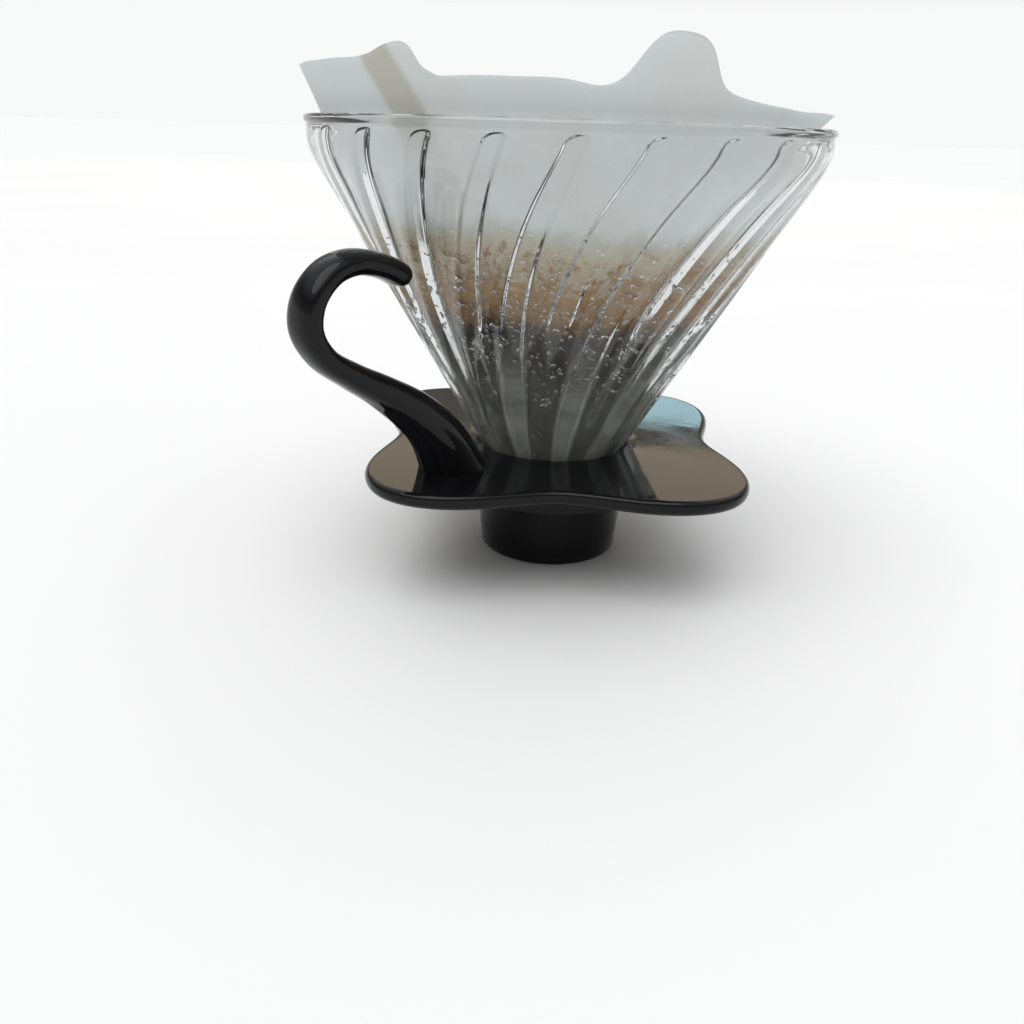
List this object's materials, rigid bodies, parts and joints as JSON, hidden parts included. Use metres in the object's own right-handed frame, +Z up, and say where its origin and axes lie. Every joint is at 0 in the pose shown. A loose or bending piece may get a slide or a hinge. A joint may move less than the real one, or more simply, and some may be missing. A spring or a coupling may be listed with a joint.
{
  "type": "pour over coffee dripper",
  "caption": "Ribbed glass cone on a lobed plastic saucer with a hooked handle, holding a paper filter and spent grounds over an outlet neck.",
  "frame": {"origin": "centre of the footprint at table level", "axes": "+Z up along the cone axis, -X towards the handle; the cone axis is 7.9 mm to +X of the origin"},
  "size_m": [0.1318, 0.116, 0.1155],
  "materials": {
    "holder_plastic": "polished moulded",
    "clear_glass": "clear pressed, wet with droplets",
    "black_silicone": "matt",
    "natural_plastic": "plain",
    "ring_plastic": "semi-gloss moulded",
    "filter_paper": "fibrous paper, damp low down",
    "wet_grounds": "wet, granular"
  },
  "bodies": {
    "holder": {"holder": "holder_plastic", "seat_gasket": "black_silicone", "gland_ring": "black_silicone"},
    "glass": {"glass_cone": "clear_glass"},
    "filter": {"paper_filter": "filter_paper", "coffee_bed": "wet_grounds"},
    "washer": {"slip_washer": "natural_plastic"},
    "lock_ring": {"lock_ring": "ring_plastic"}
  },
  "joints": [
    {"name": "glass_lift", "type": "slide", "parent": "holder", "child": "glass", "axis": [0, 0, 1], "range_m": [0, 0.04]},
    {"name": "filter_lift", "type": "slide", "parent": "glass", "child": "filter", "axis": [0, 0, 1], "range_m": [0, 0.1]},
    {"name": "washer_drop", "type": "slide", "parent": "holder", "child": "washer", "axis": [0, 0, -1], "range_m": [0, 0.0121]},
    {"name": "lock_ring_turn", "type": "hinge", "parent": "washer", "child": "lock_ring", "pos_m": [0.00789, 0, 0.005], "axis": [0, 0, -1], "range_deg": [0, 1080]}
  ],
  "couplings": [
    {"joint": "washer_drop", "follows": "lock_ring_turn", "m_per_rad": 0.00063662}
  ]
}
